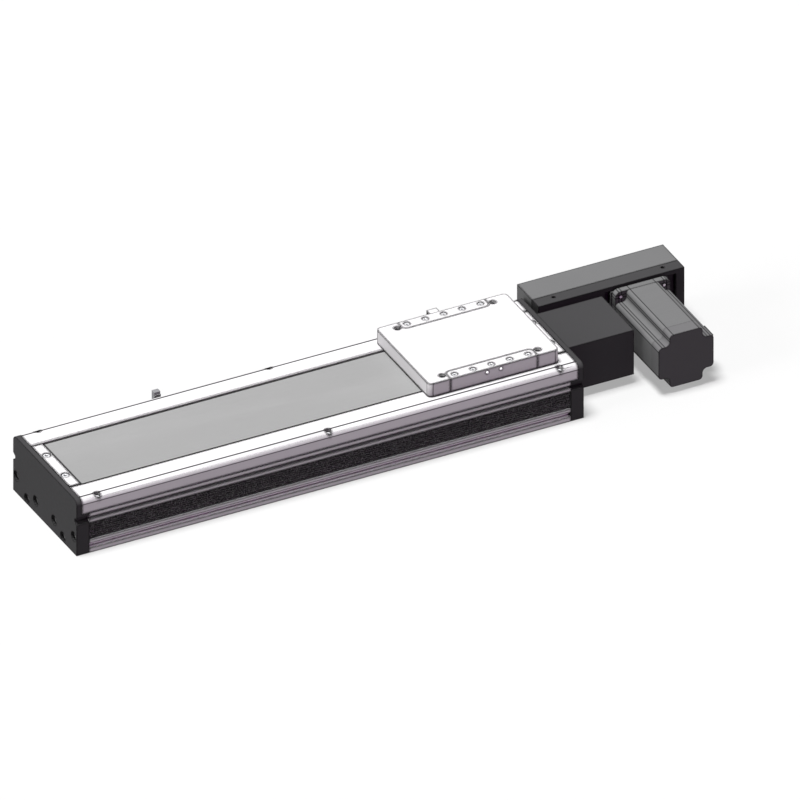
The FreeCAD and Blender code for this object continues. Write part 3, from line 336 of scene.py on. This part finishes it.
def blasted(name, color, roughness=0.5, specular=0.01, crevice_shade=0.7, line=0.8, width=edge_line):
    """Bead-blasted and anodised: a fine even grain, with faint clouds in the colour."""
    made = Finish(name, color, roughness, specular=specular)
    made.shade(made.noise(cloud_scale), 0.96, 1.03)
    # painted shade in corners, holes and gaps
    made.paint_crevice_shade(wide_crevice_shade, crevice_shade)
    made.edges(width, line)
    made.smears(made.noise(smear_scale), 0.05)
    made.fine_grain()
    return made.done()


def covers(name, color):
    """The blasted finish of the plates and covers, with the lines where their roundings begin."""
    made = Finish(name, color, 0.5, specular=0.1)
    made.shade(made.noise(cloud_scale), 0.97, 1.02)
    # painted shade in corners, holes and gaps
    made.paint_crevice_shade(wide_crevice_shade, 0.7)
    made.edges(1.3 * edge_line, 0.95)
    made.line("Y", cover_high.y - cover_rounding, "Z", cover_high.z - cover_skin, 0.95,
              width=2 * tangent_line)
    made.line("Z", cover_high.z - cover_rounding, "Y", cover_high.y - cover_skin, 0.8)
    over_covers = (cover_high.z + plate_low.z) / 2
    for axis, face_axis in ((0, 1), (1, 0)):
        made.line("XYZ"[axis], plate_half[axis] - plate_corner, "XYZ"[face_axis],
                  plate_half[face_axis] - plate_skin, 0.8, plate_middle, above=over_covers)
    made.smears(made.noise(smear_scale), 0.05)
    made.fine_grain()
    return made.done()


def extruded(name, color):
    """Extruded and anodised: fine die lines along the profile, and painted light inside the foot grooves
    that lifts their shade.
    """
    made = Finish(name, color, 0.5, specular=0.1)
    lines = made.noise(1400.0, along_x, detail=2.0)
    made.shade(lines, 0.94, 1.04)
    # painted shade in corners, holes and gaps
    made.paint_crevice_shade(wide_crevice_shade, 0.1)
    made.edges(edge_line, 0.9)
    # painted light: the colour is lifted inside the foot grooves, where shade falls
    deep = made.math("LESS_THAN", made.off(made.along("Y"), 0.0), cover_high.y - base_skin)
    level = made.math("LESS_THAN", made.off(made.along("Z"), foot_groove_middle), foot_groove_reach)
    inside = made.math("MULTIPLY", deep, level)
    made.multiply(made.spread(inside, 1.0, foot_groove_painted_light, 0.0, 1.0))
    made.smears(made.noise(420.0, along_x), 0.06)
    made.bump(lines, 0.012 * MM)
    return made.done()


def brushed(name, color):
    """Steel strip brushed along X, with a line where the strip clamps end."""
    made = Finish(name, color, 0.5, specular=0.15)
    lines = made.noise(2600.0, along_x, detail=4.0, rough=0.7)
    made.shade(lines, 0.94, 1.04)
    made.shade(made.noise(14.0), 0.99, 1.01)
    # painted shade in corners, holes and gaps
    made.paint_crevice_shade(strip_crevice_shade, 0.6)
    made.smears(lines, 0.08)
    made.set("Anisotropic", 0.5)
    made.line("X", strip_clamp_edge, "Y", 0.0, 0.9, width=2 * tangent_line)
    made.bump(lines, 0.006 * MM)
    return made.done()


def moulded(name, color, roughness, specular=0.4, speckle=0.0):
    """Moulded plastic or rubber: a leathery grain, and light specks where speckle is over zero."""
    made = Finish(name, color, roughness, specular=specular)
    grains = made.noise(1500.0, detail=2.0)
    made.shade(grains, 0.75, 1.2)
    if speckle:
        specks = made.noise(1400.0, detail=0.0)
        made.multiply(made.spread(specks, 1 - speckle, 1 + 14 * speckle, 0.53, 0.68))
    # painted shade in corners, holes and gaps
    made.paint_crevice_shade(narrow_crevice_shade, 0.6)
    made.smears(made.noise(60.0), 0.06)
    made.bump(grains, 0.02 * MM)
    return made.done()


def motor_lines(made):
    """The lines along the motor where the roundings of its notches begin."""
    shoulder = motor_half - motor_notch
    for across, height in (("X", "Z"), ("Z", "X")):
        for place, face in ((shoulder - motor_outer_rounding, motor_half),
                            (motor_half - motor_outer_rounding, shoulder),
                            (shoulder + motor_inner_rounding, shoulder)):
            made.line(across, place, height, face - motor_skin, 0.75, motor_axis)


def motor_cap(name, color):
    """The painted rear cap, whose sides run on from the body, with painted shade on its end face."""
    made = Finish(name, color, 0.5, specular=0.01)
    # painted shade in corners, holes and gaps
    made.paint_crevice_shade(motor_crevice_shade_reach, 0.3)
    made.edges(fine_edge_line, 0.8, clear=motor_seam)
    motor_lines(made)
    # painted shade: the end face is darkened against the cap's sides
    made.darken(made.along("Y"), motor_end_painted_shade,
                motor_end + motor_end_skin, motor_end + motor_end_fade)
    made.fine_grain()
    return made.done()


def laminated(name, color):
    """A painted stack of steel sheets: lines across the motor's axis, half a millimetre apart."""
    made = Finish(name, color, 0.5, specular=0.01)
    sheets = made.noise(2000.0, across_motor, detail=0.0)
    made.shade(sheets, 0.98, 1.02)
    # painted shade in corners, holes and gaps
    made.paint_crevice_shade(motor_crevice_shade_reach, 0.6)
    made.edges(fine_edge_line, 0.8, clear=motor_seam)
    motor_lines(made)
    made.smears(made.noise(500.0), 0.06)
    made.bump(sheets, 0.012 * MM)
    return made.done()


def steel(name, color, roughness, metallic, crevice_shade=0.6):
    """Bare or plated steel: faintly mottled, with smears in the gloss."""
    made = Finish(name, color, roughness, metallic)
    made.shade(made.noise(900.0, detail=2.0), 0.92, 1.05)
    # painted shade in corners, holes and gaps
    made.paint_crevice_shade(narrow_crevice_shade, crevice_shade)
    made.smears(made.noise(500.0), 0.08)
    made.bump(made.noise(1600.0), grain_height)
    return made.done()


finishes = {
    "clear_aluminium": extruded("clear_aluminium", (0.37, 0.365, 0.37)),
    "cover_aluminium": covers("cover_aluminium", (0.37, 0.362, 0.37)),
    "black_aluminium": blasted("black_aluminium", (0.0275, 0.027, 0.028), crevice_shade=0.1,
                               width=fine_edge_line),
    "grey_housing": blasted("grey_housing", (0.076, 0.076, 0.077)),
    "strip_steel": brushed("strip_steel", (0.146, 0.146, 0.146)),
    "guide_steel": steel("guide_steel", (0.40, 0.41, 0.43), 0.3, 0.8),
    "screw_steel": steel("screw_steel", (0.36, 0.36, 0.37), 0.35, 0.2),
    "black_screw": steel("black_screw", (0.06, 0.059, 0.06), 0.4, 0.1),
    "ribbed_infill": moulded("ribbed_infill", (0.018, 0.018, 0.018), 0.6, 0.05, speckle=0.6),
    "belt_rubber": moulded("belt_rubber", (0.02, 0.02, 0.021), 0.6),
    "bumper_rubber": moulded("bumper_rubber", (0.015, 0.015, 0.015), 0.7),
    "motor_paint": laminated("motor_paint", (0.077, 0.077, 0.078)),
    "motor_cap_black": motor_cap("motor_cap_black", (0.072, 0.071, 0.073)),
    "sensor_plastic": moulded("sensor_plastic", (0.12, 0.12, 0.125), 0.5),
    "bracket_steel": blasted("bracket_steel", (0.36, 0.355, 0.36), 0.45, 0.1, line=0.9),
    "connector_plastic": moulded("connector_plastic", (0.02, 0.02, 0.02), 0.5),
}
bright_steel = steel("bright_steel", (0.85, 0.85, 0.86), 0.4, 0.0, crevice_shade=0.0)


def dress(obj, material):
    """Gives every material slot of an object one material."""
    if not obj.material_slots:
        obj.data.materials.append(material)
    for entry in obj.material_slots:
        entry.material = material


for node, slot in slot_of.items():
    dress(nodes[node], finishes[slot])


# Edges of the CAD pieces that stay

def break_edges(node, width):
    """Breaks a CAD piece's sharp edges, so that they catch the light as real ones do."""
    obj = nodes[node]
    weld = obj.modifiers.new("weld", "WELD")
    weld.merge_threshold = weld_distance
    flat = obj.modifiers.new("flat", "DECIMATE")
    flat.decimate_type = "DISSOLVE"
    flat.angle_limit = flat_angle
    edge = obj.modifiers.new("edge", "BEVEL")
    edge.width = width
    edge.segments = 2
    edge.limit_method = "ANGLE"
    edge.angle_limit = broken_angle
    edge.use_clamp_overlap = False
    edge.harden_normals = True


for edge_width, edge_nodes in (
    (machined_edge, (
        "drive_end_plate", "tension_end_plate", "strip_clamps", "carriage_plate", "carriage_insert_far",
        "carriage_insert_near", "drive_box", "housing_front_plate", "housing_rear_cover",
        "motor_adapter_plate", "tension_block", "carriage_saddle")),
    (extruded_edge, ("base_extrusion", "side_cover_far", "side_cover_near", "motor_stator")),
    (cast_edge, ("motor_front_flange", "motor_end_cap", "drive_support", "limit_sensors")),
    (sheet_edge, (
        "cover_strip", "sensor_flag", "sensor_brackets", "carriage_leg_far", "carriage_leg_near")),
):
    for node in edge_nodes:
        break_edges(node, edge_width)


# Screws

def ring(bm, radius, height, six_sided=False):
    """A ring of points round Z, on a circle or on a hexagon whose flats lie on the radius."""
    points = []
    for i in range(round_points):
        turn = 2 * math.pi * i / round_points
        reach = radius
        if six_sided:
            reach = radius / math.cos((turn + math.pi / 6) % (math.pi / 3) - math.pi / 6)
        points.append(bm.verts.new((reach * math.cos(turn), reach * math.sin(turn), height)))
    return points


def turned(bm, rings, low, high):
    """Joins rings from the lowest up, and closes them with a point at each end."""
    first, last = bm.verts.new((0, 0, low)), bm.verts.new((0, 0, high))
    for i in range(round_points):
        j = (i + 1) % round_points
        bm.faces.new((first, rings[0][j], rings[0][i]))
        for a, b in zip(rings, rings[1:]):
            bm.faces.new((a[i], a[j], b[j], b[i]))
        bm.faces.new((rings[-1][i], rings[-1][j], last))


def socket_screw(head, height, shank, length):
    """A socket head screw, its head standing on z = 0."""
    bm = bmesh.new()
    nose = min(0.12 * shank, 0.3 * MM)
    rim = 0.09 * head
    socket = 0.46 * head
    mouth = 1.22 * socket
    deep = 0.55 * height
    rings = [
        ring(bm, shank - nose, -length), ring(bm, shank, nose - length), ring(bm, shank, 0),
        ring(bm, head - rim / 2, 0), ring(bm, head, rim / 2), ring(bm, head, height - rim),
        ring(bm, head - 0.3 * rim, height - 0.3 * rim), ring(bm, head - rim, height),
        ring(bm, mouth, height), ring(bm, socket, height - 0.1 * deep, True),
        ring(bm, socket, height - deep, True),
    ]
    turned(bm, rings, -length, height - 1.25 * deep)
    return bm


def solids_of(node):
    """The lowest and highest corners of each separate solid in a CAD node's mesh."""
    bm = bmesh.new()
    bm.from_mesh(nodes[node].data)
    bmesh.ops.remove_doubles(bm, verts=bm.verts, dist=weld_distance)
    waiting = set(bm.verts)
    found = []
    while waiting:
        group = [waiting.pop()]
        for vert in group:
            for edge in vert.link_edges:
                other = edge.other_vert(vert)
                if other in waiting:
                    waiting.remove(other)
                    group.append(other)
        corners = (Vector(pick(v.co[k] for v in group) for k in range(3)) for pick in (min, max))
        found.append(tuple(corners))
    bm.free()
    return sorted(found, key=lambda corners: tuple(corners[0]))


def finished(name, bm, slot, body, *replaced):
    """Turns mesh code into a piece with crisp edges, a finish and a body to ride on."""
    bmesh.ops.recalc_face_normals(bm, faces=bm.faces)
    for face in bm.faces:
        face.smooth = True
    for edge in bm.edges:
        edge.smooth = edge.calc_face_angle(0.0) < crisp_angle
    mesh = bpy.data.meshes.new(name)
    bm.to_mesh(mesh)
    bm.free()
    piece = bpy.data.objects.new(name, mesh)
    bpy.context.scene.collection.objects.link(piece)
    dress(piece, finishes[slot])
    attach(piece, body)
    if replaced:
        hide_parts(*replaced)
    return piece


def socket_screws(node, body, axis, height, shank):
    """Detailed screws in the places of a CAD node's plain ones."""
    whole = bmesh.new()
    main = max(range(3), key=lambda k: axis[k])
    for low, high in solids_of(node):
        size, middle = high - low, (low + high) / 2
        out = axis if axis != outward or middle.x > 0 else -axis
        head = max(size[k] for k in range(3) if k != main) / 2
        top = high[main] if out[main] > 0 else low[main]
        middle[main] = top - out[main] * height
        single = socket_screw(head, height, shank, size[main] - height)
        single.transform(Matrix.Translation(middle) @ out.to_track_quat("Z", "Y").to_matrix().to_4x4())
        part = bpy.data.meshes.new("part")
        single.to_mesh(part)
        single.free()
        whole.from_mesh(part)
        bpy.data.meshes.remove(part)
    return finished(node + "_detailed", whole, slot_of[node], body, node)


for node, body, axis, height, shank in screw_table:
    screws = socket_screws(node, body, axis, height * MM, shank * MM)
    if node == "motor_screws":
        dress(screws, bright_steel)


# Small pieces that the plain solids leave out

def dowel_pins():
    """Domed pins in the two holes on the outer face of each carriage insert."""
    bm = bmesh.new()
    for side in (-1, 1):
        for end in (-0.5, 0.5):
            start = len(bm.verts)
            rings = [ring(bm, pin_radius, -pin_depth), ring(bm, pin_radius, pin_shoulder),
                     ring(bm, pin_dome_radius, pin_dome_height)]
            turned(bm, rings, -pin_depth - pin_shoulder, pin_top)
            bm.verts.ensure_lookup_table()
            out = Vector((0, side, 0)).to_track_quat("Z", "Y").to_matrix().to_4x4()
            place = Vector((plate_middle.x + end * pin_spacing, side * plate_half.y,
                            plate_high.z - pin_drop))
            bmesh.ops.transform(bm, matrix=Matrix.Translation(place) @ out, verts=bm.verts[start:])
    dress(finished("dowel_pins", bm, "screw_steel", "carriage"), bright_steel)


def carriage_threads():
    """Thread crests inside the carriage's four plain holes: dark sleeves with saw-tooth bores, whose dark
    finish also stands in for the shade deep in the holes.
    """
    bm = bmesh.new()
    loops_to_a_hole = int((thread_high - thread_low) / thread_pitch) + 1
    for a in (-0.5, 0.5):
        for b in (-0.5, 0.5):
            start = len(bm.verts)
            loops = []
            for i in range(loops_to_a_hole):
                for inset, along in ((thread_root_gap, i), (thread_crest, i + 0.5)):
                    height = min(thread_low + along * thread_pitch, thread_high)
                    loops.append(ring(bm, thread_radius - inset, height))
            for low, high in zip(loops, loops[1:]):
                for i in range(round_points):
                    j = (i + 1) % round_points
                    bm.faces.new((low[j], low[i], high[i], high[j]))
            bm.verts.ensure_lookup_table()
            place = Vector((plate_middle.x + a * thread_spacing.x, b * thread_spacing.y, 0))
            bmesh.ops.translate(bm, vec=place, verts=bm.verts[start:])
    # the threads are real; their dark finish is partly painted shade for the unlit depth of the holes
    finished("carriage_threads", bm, "black_screw", "carriage")


dowel_pins()
carriage_threads()


# Floor, light and camera

def make_floor():
    """A plain pale floor, just under the part."""
    bm = bmesh.new()
    bmesh.ops.create_grid(bm, x_segments=8, y_segments=8, size=floor_half)
    mesh = bpy.data.meshes.new("floor")
    bm.to_mesh(mesh)
    bm.free()
    floor = bpy.data.objects.new("floor", mesh)
    floor.location.z = -floor_drop
    bpy.context.scene.collection.objects.link(floor)
    finish = Finish("floor_paint", (floor_grey,) * 3, 0.85, specular=0.1)
    finish.shade(finish.noise(1.5), 0.99, 1.01)
    finish.set("Emission Color", (1, 1, 1, 1))
    finish.set("Emission Strength", floor_glow)
    dress(floor, finish.done())


def make_sun(name, light, lean, turn, spread, color=(1, 1, 1)):
    """A distant soft lamp that leans from overhead towards -X, and turns from there towards +Y."""
    data = bpy.data.lights.new(name, "SUN")
    data.energy = light * math.pi
    data.angle = spread
    data.color = color
    lamp = bpy.data.objects.new(name, data)
    away = Vector((-math.sin(lean) * math.cos(turn), math.sin(lean) * math.sin(turn), math.cos(lean)))
    lamp.rotation_mode = "QUATERNION"
    lamp.rotation_quaternion = away.to_track_quat("Z", "Y")
    bpy.context.scene.collection.objects.link(lamp)


def make_world():
    """An even sky, and a brighter world below the horizon."""
    world = bpy.data.worlds.new("studio")
    bpy.context.scene.world = world
    world.use_nodes = True
    tree = world.node_tree
    place = tree.nodes.new("ShaderNodeTexCoord")
    split = tree.nodes.new("ShaderNodeSeparateXYZ")
    under = tree.nodes.new("ShaderNodeMath")
    under.operation = "LESS_THAN"
    under.inputs[1].default_value = under_height
    strength = tree.nodes.new("ShaderNodeMath")
    strength.operation = "MULTIPLY_ADD"
    strength.inputs[1].default_value = under_light
    strength.inputs[2].default_value = sky_light
    background = tree.nodes["Background"]
    background.inputs["Color"].default_value = (1, 1, 1, 1)
    tree.links.new(place.outputs["Generated"], split.inputs["Vector"])
    tree.links.new(split.outputs["Z"], under.inputs[0])
    tree.links.new(under.outputs["Value"], strength.inputs[0])
    tree.links.new(strength.outputs["Value"], background.inputs["Strength"])


def make_camera():
    """A camera without perspective, as the parallel view needs."""
    data = bpy.data.cameras.new("camera")
    data.type = "ORTHO"
    data.ortho_scale = camera_width
    data.clip_end = camera_reach
    camera = bpy.data.objects.new("camera", data)
    back = Vector((math.sin(camera_azimuth) * math.cos(camera_elevation),
                   -math.cos(camera_azimuth) * math.cos(camera_elevation), math.sin(camera_elevation)))
    camera.location = camera_target + back * camera_distance
    camera.rotation_mode = "QUATERNION"
    camera.rotation_quaternion = (-back).to_track_quat("-Z", "Y")
    bpy.context.scene.collection.objects.link(camera)
    bpy.context.scene.camera = camera


make_floor()
make_sun("key", key_light, key_lean, 0.0, key_spread)
make_sun("fill", fill_light, fill_lean, 0.0, fill_spread)
make_sun("front", front_light, front_lean, front_turn, front_spread, front_color)
make_world()
make_camera()
bpy.context.scene.view_settings.view_transform = "Standard"
bpy.context.scene.view_settings.look = "None"
